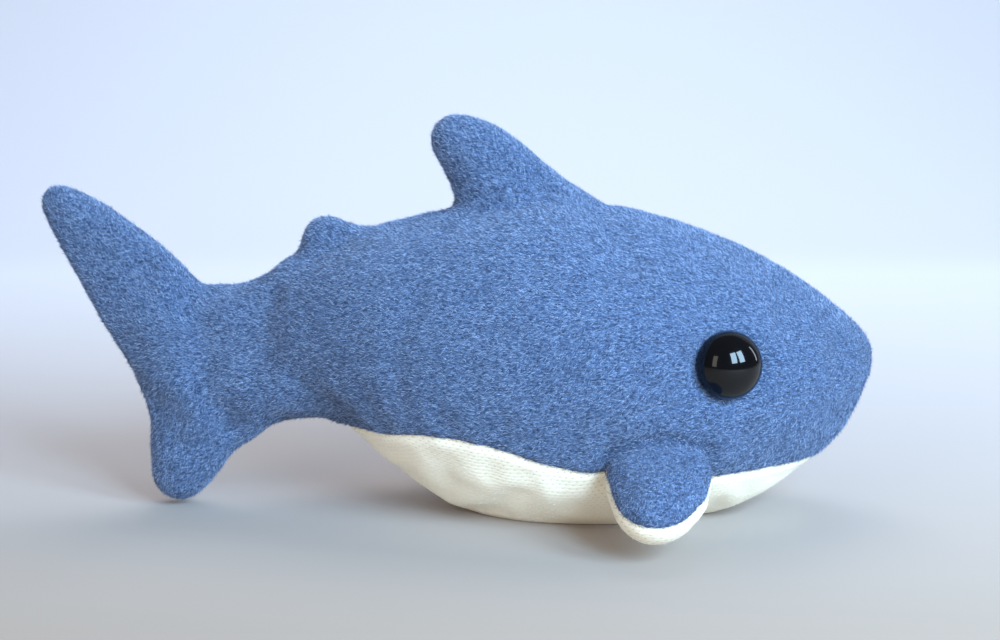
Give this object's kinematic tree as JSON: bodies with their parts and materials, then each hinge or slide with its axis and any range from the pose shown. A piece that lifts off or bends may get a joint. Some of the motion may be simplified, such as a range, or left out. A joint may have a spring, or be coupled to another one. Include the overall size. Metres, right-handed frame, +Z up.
{
  "type": "plush shark",
  "caption": "Soft stuffed toy shark with blue knitted sides, a cream belly, glossy eyes, and fins and a tail that flex and spring back.",
  "frame": {"origin": "middle of the toy's length and width, on the surface it rests on", "axes": "+X towards the nose, +Y towards the toy's own left side, +Z up"},
  "size_m": [0.2299, 0.1204, 0.1103],
  "materials": {
    "blue_cloth": "brushed knit, fuzzy",
    "cream_cloth": "fine stockinette knit",
    "stuffing": "loose polyester fibre",
    "blue_thread": "polyester thread",
    "cream_thread": "polyester thread",
    "eye_gloss": "polished",
    "washer_plastic": "moulded"
  },
  "bodies": {
    "body": {"left_side_panel": "blue_cloth", "right_side_panel": "blue_cloth", "belly_panel": "cream_cloth", "body_stuffing": "stuffing", "left_eye": "eye_gloss", "right_eye": "eye_gloss", "left_eye_washer": "washer_plastic", "right_eye_washer": "washer_plastic", "back_seam_stitches": "blue_thread", "stalk_seam_stitches": "blue_thread", "closing_stitches": "cream_thread", "left_belly_seam_stitches": "cream_thread", "right_belly_seam_stitches": "cream_thread"},
    "tail": {"tail_left_panel": "blue_cloth", "tail_right_panel": "blue_cloth", "tail_stuffing": "stuffing", "tail_seam_stitches": "blue_thread"},
    "back_fin": {"back_fin_left_panel": "blue_cloth", "back_fin_right_panel": "blue_cloth", "back_fin_stuffing": "stuffing", "back_fin_seam_stitches": "blue_thread"},
    "left_fin": {"left_fin_top": "blue_cloth", "left_fin_underside": "cream_cloth", "left_fin_stuffing": "stuffing", "left_fin_seam_stitches": "cream_thread"},
    "right_fin": {"right_fin_top": "blue_cloth", "right_fin_underside": "cream_cloth", "right_fin_stuffing": "stuffing", "right_fin_seam_stitches": "cream_thread"}
  },
  "joints": [
    {"name": "tail_bend", "type": "hinge", "parent": "body", "child": "tail", "pos_m": [-0.056, 0, 0.043], "axis": [0, 0, 1], "range_deg": [-20, 20], "stiffness_Nm_per_rad": 0.12},
    {"name": "back_fin_lean", "type": "hinge", "parent": "body", "child": "back_fin", "pos_m": [0.0158, 0, 0.088], "axis": [1, 0, 0], "range_deg": [-20, 20], "stiffness_Nm_per_rad": 0.04},
    {"name": "left_fin_flap", "type": "hinge", "parent": "body", "child": "left_fin", "pos_m": [0.052, 0.0384, 0.0184], "axis": [1, 0, 0], "range_deg": [-8, 25], "stiffness_Nm_per_rad": 0.04},
    {"name": "right_fin_flap", "type": "hinge", "parent": "body", "child": "right_fin", "pos_m": [0.052, -0.0384, 0.0184], "axis": [-1, 0, 0], "range_deg": [-8, 25], "stiffness_Nm_per_rad": 0.04}
  ]
}
